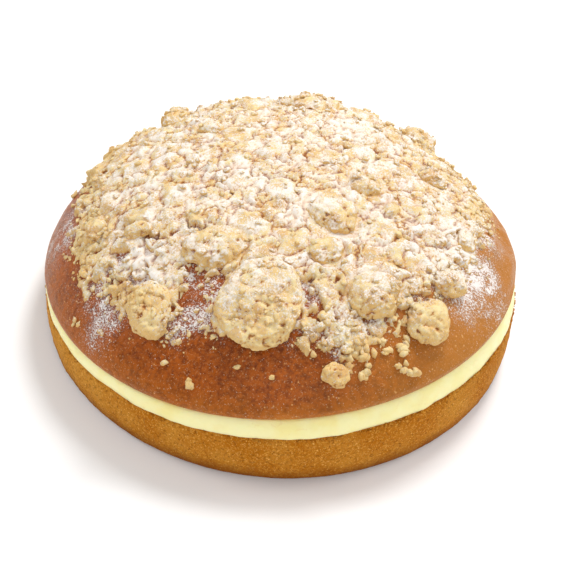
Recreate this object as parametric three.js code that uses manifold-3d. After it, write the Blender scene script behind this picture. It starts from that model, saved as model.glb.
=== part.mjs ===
// A streusel brioche: a round brioche cut across once and filled with pastry cream, with streusel
// baked on the dome of its upper half. Millimetres, +Z up, the origin under the middle of its foot.
//
// The lower half, the cream and the upper half are turned about Z and then made uneven, because a
// hand-shaped loaf is a little out of round and its cut isn't level. The streusel is a thin cover of
// crumbs with large lumps of its own in it, and stray crumbs lie on the bare crust round its edge.

import * as THREE from "three";
import { mergeVertices } from "three/addons/utils/BufferGeometryUtils.js";
import Module from "manifold-3d";

// ---- Driving dimensions ------------------------------------------------------------------------

const LOAF_RADIUS = 116; // mean radius where the two halves meet
const LOAF_HEIGHT = 84.5; // top of the crust, without streusel
const GAP = 0.3; // air between two pieces that touch

const LOWER_CUT = { height: 27.1, riseX: 0.045, riseY: -0.009 }; // top face of the lower half
const UPPER_CUT = { height: 34.2, riseX: 0.069, riseY: -0.027 }; // bottom face of the upper half

const FOOT_RADIUS = 113; // the flat face that the loaf stands on
const DOME_SPREAD = 2.6; // how flat the dome is on top: 2 is an ellipse, more is flatter
const DOME_RISE = 1.35; // how upright its flank is: 2 is an ellipse, less slopes in sooner
const SLOPED_SIDE = { angle: 0.3, change: 0.2 }; // the right flank is this much less upright
const BULGE = { x: 102, y: -17, height: 9, reach: 13 }; // a fold of dough on that flank
const SWELL = { slow: 0.75, quick: 0.4 }; // how far the low swellings of the crust go up and down
const TUCK = { height: 4.5, depth: 2.4 }; // the crust's lower edge draws in under its fullest line

const COVER_RADIUS = 93; // mean reach of the streusel from the middle
const COVER_DEPTH = 3; // streusel between its crumbs
const COVER_LIFT = 1.1; // its coarser underside clears the finer dome by this much
const COVER_FLOOR = 5; // its uncut solid starts this far above the upper cut
const COVER_CRUMBS = 92;
const COVER_CRUMB_SIZE = [3.2, 6]; // smallest and largest radius
const STRAY_CRUMBS = 20;
const STRAY_CRUMB_SIZE = [1.6, 3.4];
const STRAY_BELT = { start: 2, width: 14, end: 0.965 }; // start and width past the cover, end as a share
const LUMP_ROUGHNESS = 0.11; // share of its size by which a lump's skin goes in and out
const LUMP_SEAT = { half: 0.8, lift: 0.2 }; // its half height and its lift, as shares of how tall it is
const LUMP_ROOM = 0.45; // a lump's hollow in its neighbours is this much larger all round
const CRUMB_ROUGHNESS = 0.12;

const TURNS = 60; // sides of each round piece
const COVER_TURNS = 30; // sides of the streusel cover
const FULL_TURN = 2 * Math.PI;
const SEED = 20;

// The loaf's outline leaves a circle by these waves: times round, share of the radius, phase.
const OUTLINE_WAVES = [
  [2, 0.003, 3.5],
  [5, 0.002, 4.0],
];
const FLAT_SIDE = { angle: 0.5, depth: 0.055, spread: 0.55 }; // the outline draws in at the back right
// The lower half bulges a little more at the front right.
const LOWER_WAVES = [
  [1, 0.012, 5.6],
  [4, 0.002, 1.0],
];
// The reach of the streusel: deeper waves, so that bare crust shows in bays round it.
const COVER_WAVES = [
  [1, 0.03, 4.2],
  [2, 0.03, 0.2],
  [5, 0.03, 0.4],
  [8, 0.025, 2.6],
];
// The cream's rim goes in and out where it was spread.
const CREAM_WAVES = [
  [4, 0.004, 1.0],
  [7, 0.003, 3.0],
];

// Lumps of streusel as large as berries: where each lies, from the middle, its three sizes, and how
// far its long side is turned. The first ten are the ones that show best from the front.
const LUMPS = [
  { name: "front_slab", x: -7, y: -80.5, long: 45, wide: 37, tall: 10, turn: 72 },
  { name: "left_front", x: -54, y: -78, long: 27, wide: 22, tall: 9, turn: 100 },
  { name: "right_front", x: 41, y: -71, long: 26, wide: 25, tall: 10, turn: 20 },
  { name: "right_edge", x: 65, y: -76, long: 24, wide: 23, tall: 8, turn: 50 },
  { name: "middle", x: 22, y: -31, long: 26, wide: 20, tall: 8, turn: 120 },
  { name: "middle_low", x: 20, y: -53, long: 17, wide: 16, tall: 7, turn: 10 },
  { name: "mound", x: -29, y: -53, long: 31, wide: 23, tall: 8, turn: 15 },
  { name: "left_edge", x: -85, y: -28, long: 19, wide: 14, tall: 7, turn: 62 },
  { name: "front_nugget", x: 26, y: -104, long: 13, wide: 12, tall: 7, turn: 10 },
  { name: "right_drift", x: 75, y: -55, long: 18, wide: 15, tall: 7, turn: 40 },
  { name: "right_shoulder", x: 84, y: -27, long: 16, wide: 14, tall: 6, turn: 70 },
  { name: "right_back", x: 70, y: 12, long: 18, wide: 14, tall: 7, turn: 160 },
  { name: "centre_right", x: 36, y: -9, long: 18, wide: 14, tall: 6, turn: 150 },
  { name: "far_right", x: 38, y: 33, long: 16, wide: 15, tall: 6, turn: 5 },
  { name: "far_left", x: -38, y: 35, long: 14, wide: 11, tall: 6, turn: 10 },
  { name: "left_middle", x: -64, y: -38, long: 15, wide: 11, tall: 6, turn: 170 },
  { name: "back_slab", x: 12, y: 74, long: 33, wide: 25, tall: 8, turn: 30 },
  { name: "back_left", x: -58, y: 62, long: 25, wide: 18, tall: 8, turn: 80 },
  { name: "back_right", x: 66, y: 58, long: 24, wide: 19, tall: 8, turn: 130 },
];

const CRUST = new THREE.MeshStandardMaterial({ color: 0xb0682b, roughness: 0.45 });
const LOWER_CRUST = new THREE.MeshStandardMaterial({ color: 0xc98a3c, roughness: 0.6 });
const CREAM = new THREE.MeshStandardMaterial({ color: 0xf3e6a2, roughness: 0.35 });
const STREUSEL = new THREE.MeshStandardMaterial({ color: 0xe2bf82, roughness: 0.85 });

// ---- The loaf's own shape ----------------------------------------------------------------------

// 1 give or take the sum of some waves round the circle.
function waved(waves, angle) {
  return waves.reduce((sum, [times, share, phase]) => sum + share * Math.cos(times * angle - phase), 1);
}

function cutHeight(cut, x, y) {
  return cut.height + cut.riseX * x + cut.riseY * y;
}

function loafRadius(angle) {
  const turn = Math.atan2(Math.sin(angle - FLAT_SIDE.angle), Math.cos(angle - FLAT_SIDE.angle));
  const flat = FLAT_SIDE.depth * Math.exp(-Math.pow(turn / FLAT_SIDE.spread, 2));
  return LOAF_RADIUS * (waved(OUTLINE_WAVES, angle) - flat);
}

function coverRadius(angle) {
  return COVER_RADIUS * waved(COVER_WAVES, angle);
}

// Low swellings and hollows of the crust, and the one bulge that stands out on the loaf's right.
function swell(x, y) {
  const slow = Math.sin(x / 23 + 0.8) * Math.cos(y / 27 - 0.5);
  const quick = Math.sin(x / 11 - y / 15 + 2) * Math.sin(y / 12 + x / 31);
  const away = Math.hypot(x - BULGE.x, y - BULGE.y) / BULGE.reach;
  return SWELL.slow * slow + SWELL.quick * quick + BULGE.height * Math.exp(-away * away);
}

// Height of the crust over a point, from its fullest line, which lies a little above the upper cut.
function domeHeight(x, y) {
  const angle = Math.atan2(y, x);
  const edge = loafRadius(angle);
  const out = Math.min(Math.hypot(x, y) / edge, 1);
  const foot = TUCK.height + cutHeight(UPPER_CUT, edge * Math.cos(angle), edge * Math.sin(angle));
  const facing = Math.max(0, Math.cos(angle - SLOPED_SIDE.angle));
  const upright = DOME_RISE - SLOPED_SIDE.change * facing * facing;
  const rise = Math.pow(1 - Math.pow(out, DOME_SPREAD), 1 / upright);
  return foot + (LOAF_HEIGHT - foot + swell(x, y)) * rise;
}

function domeNormal(x, y) {
  const step = 0.5;
  const slopeX = (domeHeight(x + step, y) - domeHeight(x - step, y)) / (2 * step);
  const slopeY = (domeHeight(x, y + step) - domeHeight(x, y - step)) / (2 * step);
  return new THREE.Vector3(-slopeX, -slopeY, 1).normalize();
}

// ---- Solids ------------------------------------------------------------------------------------

const wasm = await Module();
wasm.setup();
const { Manifold, Mesh } = wasm;

// A closed three.js geometry as a solid. Faces that closed to a line at a pole are dropped.
function solidFrom(geometry) {
  const bare = geometry.clone();
  bare.deleteAttribute("normal");
  bare.deleteAttribute("uv");
  const merged = mergeVertices(bare, 1e-3);
  const index = merged.index.array;
  const triangles = [];
  for (let i = 0; i < index.length; i += 3) {
    const [a, b, c] = index.slice(i, i + 3);
    if (a !== b && b !== c && a !== c) triangles.push(a, b, c);
  }
  return new Manifold(
    new Mesh({
      numProp: 3,
      vertProperties: new Float32Array(merged.attributes.position.array),
      triVerts: new Uint32Array(triangles),
    })
  );
}

function geometryFrom(solid) {
  const mesh = solid.getMesh();
  const geometry = new THREE.BufferGeometry();
  geometry.setAttribute("position", new THREE.BufferAttribute(mesh.vertProperties.slice(), 3));
  geometry.setIndex(new THREE.BufferAttribute(mesh.triVerts.slice(), 1));
  return geometry.toNonIndexed();
}

// The largest of the bodies that a cut leaves.
function largestBody(solid) {
  return solid.decompose().reduce((best, body) => (body.volume() > best.volume() ? body : best));
}

// Turns a profile of [share of the radius, level] pairs about Z, from the axis below to the axis
// above, and then lets place(share, angle, level) say where each point of it really lies.
function turned(profile, place, sides = TURNS) {
  const points = profile.map(([share, level]) => new THREE.Vector2(share, level));
  const geometry = new THREE.LatheGeometry(points, sides);
  const position = geometry.attributes.position;
  for (let i = 0; i < position.count; i += 1) {
    const share = Math.hypot(position.getX(i), position.getZ(i));
    const angle = Math.atan2(-position.getZ(i), position.getX(i));
    position.setXYZ(i, ...place(share, angle, position.getY(i)));
  }
  return solidFrom(geometry);
}

function onCircle(radius, angle) {
  return [radius * Math.cos(angle), radius * Math.sin(angle)];
}

// The lower half: an upright wall with a round foot, up to the lower cut.
function lowerHalf() {
  const foot = FOOT_RADIUS / LOAF_RADIUS;
  const profile = [
    [0, 0],
    [foot * 0.6, 0],
    [foot, 0],
    [0.99, 0.03],
    [1.003, 0.12],
    [1.012, 0.34],
    [1.014, 0.65],
    [1.007, 0.88],
    [0.994, 1],
    [0.6, 1],
    [0, 1],
  ];
  return turned(profile, (share, angle, level) => {
    const [x, y] = onCircle(share * loafRadius(angle) * waved(LOWER_WAVES, angle), angle);
    return [x, y, level * cutHeight(LOWER_CUT, x, y)];
  });
}

// The cream: a layer that runs through between the cuts and swells a little at its rim.
function creamLayer() {
  const profile = [
    [0, 0],
    [0.6, 0],
    [0.982, 0],
    [0.996, 0.2],
    [0.999, 0.5],
    [0.993, 0.8],
    [0.98, 1],
    [0.6, 1],
    [0, 1],
  ];
  return turned(profile, (share, angle, level) => {
    const [x, y] = onCircle(share * loafRadius(angle) * waved(CREAM_WAVES, angle), angle);
    const low = cutHeight(LOWER_CUT, x, y) + GAP;
    const high = cutHeight(UPPER_CUT, x, y) - GAP;
    return [x, y, low + (high - low) * level];
  });
}

// The dome of the upper half, with its surface lifted where a neighbour needs room.
function dome(lift = 0, sides = TURNS, rings = 13) {
  const under = [0, 0.35, 0.7];
  const edge = 1 - TUCK.depth / LOAF_RADIUS;
  const profile = under.map((share) => [share * edge, 0]);
  profile.push([edge, 0]);
  for (let ring = 0; ring <= rings; ring += 1) {
    // Even steps of the quarter turn, closer together at the edge where the dome is steepest.
    const quarter = (Math.PI / 2) * Math.pow(ring / rings, 0.94);
    profile.push([Math.pow(Math.cos(quarter), 2 / DOME_SPREAD), 1 + ring]);
  }
  profile[profile.length - 1][0] = 0;
  return turned(profile, (share, angle, level) => {
    const [x, y] = onCircle(share * loafRadius(angle), angle);
    if (level < 1) {
      return [x, y, cutHeight(UPPER_CUT, x, y)];
    }
    const normal = share < 0.995 ? domeNormal(x, y) : new THREE.Vector3(...onCircle(1, angle), 0);
    const height = domeHeight(x, y);
    return [x + normal.x * lift, y + normal.y * lift, height + normal.z * lift];
  }, sides);
}

// ---- Streusel ----------------------------------------------------------------------------------

// Random numbers from 0 to 1 that are the same on every run (mulberry32).
function randomFrom(seed) {
  let state = seed;
  return () => {
    state = (state + 0x6d2b79f5) | 0;
    let t = Math.imul(state ^ (state >>> 15), 1 | state);
    t = (t + Math.imul(t ^ (t >>> 7), 61 | t)) ^ t;
    return ((t ^ (t >>> 14)) >>> 0) / 4294967296;
  };
}

// Moves each corner of a round geometry in or out by waves of its direction, so that no two lumps
// are alike, and gives it its three half sizes.
function makeCraggy(geometry, roughness, phase, halves) {
  const position = geometry.attributes.position;
  const corner = new THREE.Vector3();
  for (let i = 0; i < position.count; i += 1) {
    corner.fromBufferAttribute(position, i).normalize();
    const { x, y, z } = corner;
    const large = Math.sin(3.1 * x + phase) * Math.cos(2.7 * y - 1.3 * phase) + Math.sin(2.3 * z + phase);
    const small = Math.sin(7 * x + 2 * phase) * Math.sin(6 * y + phase) * Math.cos(5 * z);
    corner.multiplyScalar(1 + roughness * (0.6 * large + 0.8 * small));
    position.setXYZ(i, corner.x * halves[0], corner.y * halves[1], corner.z * halves[2]);
  }
  return geometry;
}

// Lays a geometry on the dome over (x, y), its Z along the crust's normal, lifted along it.
function laidOnDome(geometry, x, y, turn, lift) {
  const normal = domeNormal(x, y);
  const upright = new THREE.Vector3(0, 0, 1);
  const lean = new THREE.Quaternion().setFromUnitVectors(upright, normal);
  const spin = new THREE.Quaternion().setFromAxisAngle(upright, turn);
  const seat = new THREE.Vector3(x, y, domeHeight(x, y)).addScaledVector(normal, lift);
  const matrix = new THREE.Matrix4().compose(seat, lean.multiply(spin), new THREE.Vector3(1, 1, 1));
  return geometry.clone().applyMatrix4(matrix);
}

// A crumb of twenty faces, longer than wide and wider than tall.
function crumb(size, random) {
  const round = new THREE.IcosahedronGeometry(1);
  const shares = [0.85 + 0.4 * random(), 0.75 + 0.3 * random(), 0.6 + 0.25 * random()];
  return makeCraggy(round, CRUMB_ROUGHNESS, FULL_TURN * random(), shares.map((share) => share * size));
}

// A large lump as it lies, grown on all sides by some millimetres where a neighbour needs room.
function lump(entry, order, grow) {
  const detail = entry.long > 28 ? 2 : 1;
  const halves = [entry.long / 2 + grow, entry.wide / 2 + grow, entry.tall * LUMP_SEAT.half + grow];
  const turn = THREE.MathUtils.degToRad(entry.turn);
  const craggy = makeCraggy(new THREE.IcosahedronGeometry(1, detail), LUMP_ROUGHNESS, 1.7 * order, halves);
  return solidFrom(laidOnDome(craggy, entry.x, entry.y, turn, entry.tall * LUMP_SEAT.lift));
}

// Is a point within the outline of any large lump, with some room round it?
function nearLump(x, y, room) {
  return LUMPS.some((entry) => Math.hypot(entry.x - x, entry.y - y) < (entry.long + entry.wide) / 4 + room);
}

// The streusel between the lumps: a thin cap over the dome with crumbs spread on it in a spiral.
function streuselCover(liftedDome, roomForLumps) {
  const shares = [1, 0.96, 0.84, 0.71, 0.57, 0.42, 0.26, 0.12, 0];
  const under = [[0, -1], [1, -1]];
  const profile = under.concat(shares.map((share, ring) => [share, ring]));
  const cap = turned(profile, (share, angle, level) => {
    const [x, y] = onCircle(share * coverRadius(angle), angle);
    if (level < 0) return [x, y, UPPER_CUT.height + COVER_FLOOR];
    return [x, y, domeHeight(x, y) + (level === 0 ? 0 : COVER_DEPTH)];
  }, COVER_TURNS);

  const random = randomFrom(SEED);
  const pieces = [cap];
  const golden = Math.PI * (3 - Math.sqrt(5));
  for (let i = 0; i < COVER_CRUMBS; i += 1) {
    const angle = i * golden;
    const reach = Math.sqrt((i + 0.5) / COVER_CRUMBS) * coverRadius(angle);
    const [x, y] = onCircle(reach + 3 * (random() - 0.5), angle);
    const [least, most] = COVER_CRUMB_SIZE;
    const size = least + (most - least) * random() * random() * 1.4;
    const shape = crumb(size, random);
    const turn = FULL_TURN * random();
    if (!nearLump(x, y, -size)) {
      pieces.push(solidFrom(laidOnDome(shape, x, y, turn, 0.8 * COVER_DEPTH)));
    }
  }
  return largestBody(Manifold.union(pieces).subtract(Manifold.union([liftedDome, ...roomForLumps])));
}

// Stray crumbs on the bare crust, in the belt outside the cover and clear of it and of the lumps.
function strayCrumbs() {
  const random = randomFrom(SEED + 1);
  const pieces = [];
  for (let tries = 0; pieces.length < STRAY_CRUMBS && tries < 20 * STRAY_CRUMBS; tries += 1) {
    const angle = FULL_TURN * random();
    const [least, most] = STRAY_CRUMB_SIZE;
    const size = least + (most - least) * random() * random();
    const out = STRAY_BELT.start + STRAY_BELT.width * random() * random();
    const [x, y] = onCircle(coverRadius(angle) + COVER_CRUMB_SIZE[1] + size + out, angle);
    const shape = crumb(size, random);
    const turn = FULL_TURN * random();
    const onCrust = Math.hypot(x, y) < STRAY_BELT.end * loafRadius(angle);
    if (onCrust && !nearLump(x, y, size + 3)) {
      pieces.push(solidFrom(laidOnDome(shape, x, y, turn, 0.4 * size)));
    }
  }
  return pieces;
}

// ---- The whole brioche -------------------------------------------------------------------------

const brioche = new THREE.Group();
brioche.name = "streusel_brioche";

function addPiece(name, solid, material) {
  const mesh = new THREE.Mesh(geometryFrom(solid), material);
  mesh.name = name;
  brioche.add(mesh);
}

const liftedDome = dome(GAP);
const coverBed = dome(COVER_LIFT, COVER_TURNS, 9);
const roomForLumps = LUMPS.map((entry, order) => lump(entry, order, LUMP_ROOM));

addPiece("lower_half", lowerHalf(), LOWER_CRUST);
addPiece("cream", creamLayer(), CREAM);
addPiece("upper_half", Manifold.union([dome(), ...strayCrumbs()]), CRUST);
addPiece("streusel_cover", streuselCover(coverBed, roomForLumps), STREUSEL);
LUMPS.forEach((entry, order) => {
  const room = Manifold.union([liftedDome, ...roomForLumps.slice(0, order)]);
  addPiece(`lump_${entry.name}`, largestBody(lump(entry, order, 0).subtract(room)), STREUSEL);
});

export default brioche;
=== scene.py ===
"""The looks of a streusel brioche: a round filled brioche with pastry cream between its two halves.

The loaf's halves and its cream are spun and made uneven by the same rules as the solids. The streusel
is a relief over the dome, taken from the solid cover and then crowded with crumbs, with each large
lump of it a piece of its own, and everything is dusted with icing sugar. Lengths are millimetres until
a mesh is written, which is in metres, in the frame of the solids.
"""

from __future__ import annotations

import logging
import math
from dataclasses import dataclass, field
from enum import Enum
from typing import Callable, Union

import bmesh
import bpy
import numpy as np
from mathutils import Matrix, Vector, noise
from mathutils.bvhtree import BVHTree


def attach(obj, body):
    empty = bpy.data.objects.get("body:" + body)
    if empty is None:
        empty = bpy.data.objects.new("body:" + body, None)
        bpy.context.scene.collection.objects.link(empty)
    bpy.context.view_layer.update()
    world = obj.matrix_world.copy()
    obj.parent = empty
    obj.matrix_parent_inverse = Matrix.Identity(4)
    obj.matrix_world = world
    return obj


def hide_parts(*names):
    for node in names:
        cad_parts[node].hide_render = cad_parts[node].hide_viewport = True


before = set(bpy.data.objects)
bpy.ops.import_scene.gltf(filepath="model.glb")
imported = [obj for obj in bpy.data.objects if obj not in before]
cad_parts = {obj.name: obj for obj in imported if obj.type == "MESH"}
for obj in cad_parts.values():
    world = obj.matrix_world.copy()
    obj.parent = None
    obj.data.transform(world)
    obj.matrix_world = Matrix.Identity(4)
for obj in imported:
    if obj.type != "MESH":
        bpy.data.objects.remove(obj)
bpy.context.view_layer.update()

LOG = logging.getLogger("brioche")
MM = 0.001
WELD = 1e-6
FULL_TURN = 2 * math.pi
CELL_SEED = 7  # the vector noise that bends the cells starts from the clock unless it is seeded
ABOVE_ALL = 140.0
LOAF_MIDDLE = 40.0
UP = Vector((0, 0, 1))
DOWN = Vector((0, 0, -1))
Array = np.ndarray
Colour = tuple[float, float, float]
Socket = bpy.types.NodeSocket
Value = Union[Socket, float, Colour]
Place = Callable[[Array, Array, Array], tuple[Array, Array, Array]]


# ---- The loaf's own shape ----------------------------------------------------------------------


@dataclass(frozen=True)
class Wave:
    """One wave round the loaf: how often it comes round, its share of the radius and its phase."""

    times: int
    share: float
    phase: float

    def at(self, angle: Array) -> Array:
        """The wave's value at an angle."""
        return self.share * np.cos(self.times * angle - self.phase)


@dataclass(frozen=True)
class Cut:
    """A plane cut across the loaf: its height in the middle and its rise along X and Y."""

    height: float
    rise_x: float
    rise_y: float

    def at(self, x: Array, y: Array) -> Array:
        """The height of the cut over a point."""
        return self.height + self.rise_x * x + self.rise_y * y


@dataclass(frozen=True)
class LoafShape:
    """The driving dimensions of the loaf, as the solids have them, and the surfaces they give.

    The bulge is its x, y, height and reach, and the flat side its angle, depth and spread.
    """

    radius: float = 116.0
    height: float = 84.5
    gap: float = 0.3
    lower_cut: Cut = Cut(27.1, 0.045, -0.009)
    upper_cut: Cut = Cut(34.2, 0.069, -0.027)
    dome_spread: float = 2.6
    dome_rise: float = 1.35
    sloped_angle: float = 0.3
    sloped_change: float = 0.2
    slow_swell: float = 0.75
    quick_swell: float = 0.4
    bulge: tuple[float, float, float, float] = (102.0, -17.0, 9.0, 13.0)
    tuck_height: float = 4.5
    tuck_depth: float = 2.4
    outline_waves: tuple[Wave, ...] = (Wave(2, 0.003, 3.5), Wave(5, 0.002, 4.0))
    flat_side: tuple[float, float, float] = (0.5, 0.055, 0.55)
    lower_waves: tuple[Wave, ...] = (Wave(1, 0.012, 5.6), Wave(4, 0.002, 1.0))
    cover_radius: float = 93.0
    cover_waves: tuple[Wave, ...] = (
        Wave(1, 0.03, 4.2),
        Wave(2, 0.03, 0.2),
        Wave(5, 0.03, 0.4),
        Wave(8, 0.025, 2.6),
    )

    def outline(self, angle: Array) -> Array:
        """The loaf's radius at an angle, with its one flatter side.

        Args:
            angle: Angles about Z, from +X.

        Returns:
            The radius in millimetres at each angle.
        """
        middle, depth, spread = self.flat_side
        turn = np.arctan2(np.sin(angle - middle), np.cos(angle - middle))
        waves = sum(wave.at(angle) for wave in self.outline_waves)
        return self.radius * (1 + waves - depth * np.exp(-((turn / spread) ** 2)))

    def lower_outline(self, angle: Array) -> Array:
        """The radius of the lower half, which bulges more at the front right."""
        return self.outline(angle) * (1 + sum(wave.at(angle) for wave in self.lower_waves))

    def cover_outline(self, angle: Array) -> Array:
        """How far the streusel reaches from the middle at an angle."""
        return self.cover_radius * (1 + sum(wave.at(angle) for wave in self.cover_waves))

    def swell(self, x: Array, y: Array) -> Array:
        """The low swellings of the crust and the one bulge on its right.

        Args:
            x: The points' X.
            y: The points' Y.

        Returns:
            How far each point's crust stands above the plain dome.
        """
        slow = np.sin(x / 23 + 0.8) * np.cos(y / 27 - 0.5)
        quick = np.sin(x / 11 - y / 15 + 2) * np.sin(y / 12 + x / 31)
        at_x, at_y, height, reach = self.bulge
        away = np.hypot(x - at_x, y - at_y) / reach
        return self.slow_swell * slow + self.quick_swell * quick + height * np.exp(-away * away)

    def dome(self, x: Array, y: Array) -> Array:
        """The height of the crust over a point.

        Args:
            x: The points' X.
            y: The points' Y.

        Returns:
            The crust's Z at each point.
        """
        angle = np.arctan2(y, x)
        edge = self.outline(angle)
        out = np.minimum(np.hypot(x, y) / edge, 1)
        foot = self.tuck_height + self.upper_cut.at(edge * np.cos(angle), edge * np.sin(angle))
        facing = np.maximum(0, np.cos(angle - self.sloped_angle))
        upright = self.dome_rise - self.sloped_change * facing * facing
        rise = np.power(np.maximum(1 - out**self.dome_spread, 0), 1 / upright)
        return foot + (self.height - foot + self.swell(x, y)) * rise

    def normal(self, x: Array, y: Array) -> Array:
        """The crust's outward unit normals over points.

        Args:
            x: The points' X.
            y: The points' Y.

        Returns:
            The normals, one row for each point.
        """
        step = 0.5
        slope_x = (self.dome(x + step, y) - self.dome(x - step, y)) / (2 * step)
        slope_y = (self.dome(x, y + step) - self.dome(x, y - step)) / (2 * step)
        rows = np.stack([-slope_x, -slope_y, np.ones_like(slope_x)], -1)
        return rows / np.linalg.norm(rows, axis=-1, keepdims=True)

    def over_dome(self, x: Array, y: Array, lift: Array) -> Array:
        """Points that stand off the crust by a lift along its normal, one row each."""
        return np.stack([x, y, self.dome(x, y)], -1) + self.normal(x, y) * np.asarray(lift)[..., None]


# ---- Meshes ------------------------------------------------------------------------------------


def fractal(points: Array, size: float, octaves: int = 3, seed: float = 0.0) -> Array:
    """Smooth noise at points.

    Args:
        points: Rows of x, y, z in millimetres.
        size: The width of its largest swelling.
        octaves: How many finer layers are added.
        seed: Moves the pattern, so that two uses differ.

    Returns:
        One value for each point, about -1 to 1.
    """
    away = Vector((seed, seed * 1.7, -seed))
    return np.array([noise.fractal(Vector(p) / size + away, 0.9, 2.1, octaves) for p in points])


def chunks(points: Array, size: float, seed: float = 0.0) -> tuple[Array, Array]:
    """Splits space into irregular cells, as a broken crumb is.

    Args:
        points: Rows of x, y, z in millimetres.
        size: The mean width of a cell.
        seed: Moves the pattern.

    Returns:
        For each point, a dome over its cell that falls to 0 at the cell's edge, and the cell's own
        random number from 0 to 1.
    """
    away = Vector((seed, -seed, seed * 0.6))
    domes, numbers = np.empty(len(points)), np.empty(len(points))
    for row, point in enumerate(points):
        at = Vector(point) / size + away
        found, centres = noise.voronoi(at + 0.38 * noise.noise_vector(1.8 * at))
        domes[row] = found[1] - found[0]
        numbers[row] = noise.cell(centres[0] * 13.7)
    return np.sqrt(1 - (1 - np.clip(domes, 0, 1)) ** 2), 0.5 + 0.5 * numbers


def coordinates(mesh: bpy.types.Mesh) -> Array:
    """Reads a mesh's corners.

    Args:
        mesh: The mesh, in metres.

    Returns:
        The corners in millimetres, one row each.
    """
    flat = np.empty(len(mesh.vertices) * 3)
    mesh.vertices.foreach_get("co", flat)
    return flat.reshape(-1, 3) / MM


def set_coordinates(mesh: bpy.types.Mesh, points: Array) -> None:
    """Writes a mesh's corners, given in millimetres."""
    mesh.vertices.foreach_set("co", (points * MM).ravel())
    mesh.update()


def normals(mesh: bpy.types.Mesh) -> Array:
    """Reads the normals at a mesh's corners.

    Args:
        mesh: The mesh.

    Returns:
        The unit normals, one row for each corner.
    """
    flat = np.empty(len(mesh.vertices) * 3)
    mesh.vertices.foreach_get("normal", flat)
    return flat.reshape(-1, 3)


def store(mesh: bpy.types.Mesh, name: str, values: Array) -> None:
    """Keeps one number for each corner of a mesh, for its material to read."""
    mesh.attributes.new(name, "FLOAT", "POINT").data.foreach_set("value", values.astype(np.float32))


def spun(name: str, profile: list[tuple[float, float]], steps: int, place: Place) -> bpy.types.Mesh:
    """Spins a profile about Z and then moves each point of it to where it really lies.

    Args:
        name: The mesh's name.
        profile: Pairs of share of the radius and level, from the axis below to the axis above.
        steps: How many sides the full turn has.
        place: Gives x, y and z in millimetres for arrays of share, angle and level.

    Returns:
        The closed mesh, with its faces outwards and smooth.
    """
    bm = bmesh.new()
    corners = [bm.verts.new((share, 0, level)) for share, level in profile]
    edges = [bm.edges.new(pair) for pair in zip(corners, corners[1:])]
    turn = {"cent": (0, 0, 0), "axis": (0, 0, 1), "angle": FULL_TURN, "use_merge": True}
    bmesh.ops.spin(bm, geom=corners + edges, steps=steps, **turn)
    bmesh.ops.remove_doubles(bm, verts=bm.verts, dist=WELD)
    flat = np.array([corner.co for corner in bm.verts])
    share, angle = np.hypot(flat[:, 0], flat[:, 1]), np.arctan2(flat[:, 1], flat[:, 0])
    for corner, point in zip(bm.verts, np.stack(place(share, angle, flat[:, 2]), -1)):
        corner.co = point * MM
    bmesh.ops.recalc_face_normals(bm, faces=bm.faces)
    return written(bm, name)


def written(bm: bmesh.types.BMesh, name: str) -> bpy.types.Mesh:
    """Turns a bmesh into a smooth mesh and frees it.

    Args:
        bm: The bmesh, in metres.
        name: The mesh's name.

    Returns:
        The new mesh.
    """
    for face in bm.faces:
        face.smooth = True
    mesh = bpy.data.meshes.new(name)
    bm.to_mesh(mesh)
    bm.free()
    mesh.update()
    return mesh


def shown(mesh: bpy.types.Mesh, material: bpy.types.Material, slot: str, *nodes: str) -> bpy.types.Object:
    """Puts a mesh in the scene as a piece of the part.

    Args:
        mesh: The finished mesh, in metres.
        material: Its finish.
        slot: The material slot that the finish belongs to; it is not used.
        nodes: The solids that the piece stands for.

    Returns:
        The new object, riding on the part's one body.
    """
    piece = bpy.data.objects.new(mesh.name, mesh)
    bpy.context.scene.collection.objects.link(piece)
    mesh.materials.append(material)
    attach(piece, "root")
    if nodes:
        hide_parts(*nodes)
    LOG.info("%s: %d faces", piece.name, len(mesh.polygons))
    return piece


# ---- Finishes ----------------------------------------------------------------------------------


class Sum(Enum):
    """The kinds of arithmetic that a material does."""

    PLUS = "ADD"
    MINUS = "SUBTRACT"
    TIMES = "MULTIPLY"
    POWER = "POWER"
    ROOT = "SQRT"
    LARGER = "MAXIMUM"


@dataclass(frozen=True)
class Grain:
    """A noise pattern: its largest swelling in millimetres, its finer layers, their weight and its bend."""

    size: float
    detail: float = 3.0
    roughness: float = 0.55
    bend: float = 0.0


@dataclass(frozen=True)
class Patches:
    """Patches where a noise pattern passes a value: where they begin, where they are full, their share."""

    grain: Grain
    begin: float
    full: float
    share: float = 1.0


@dataclass(frozen=True)
class Wander:
    """How far in millimetres a noise pattern moves an edge, so that it isn't drawn as a plain line."""

    grain: Grain
    by: float


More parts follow.
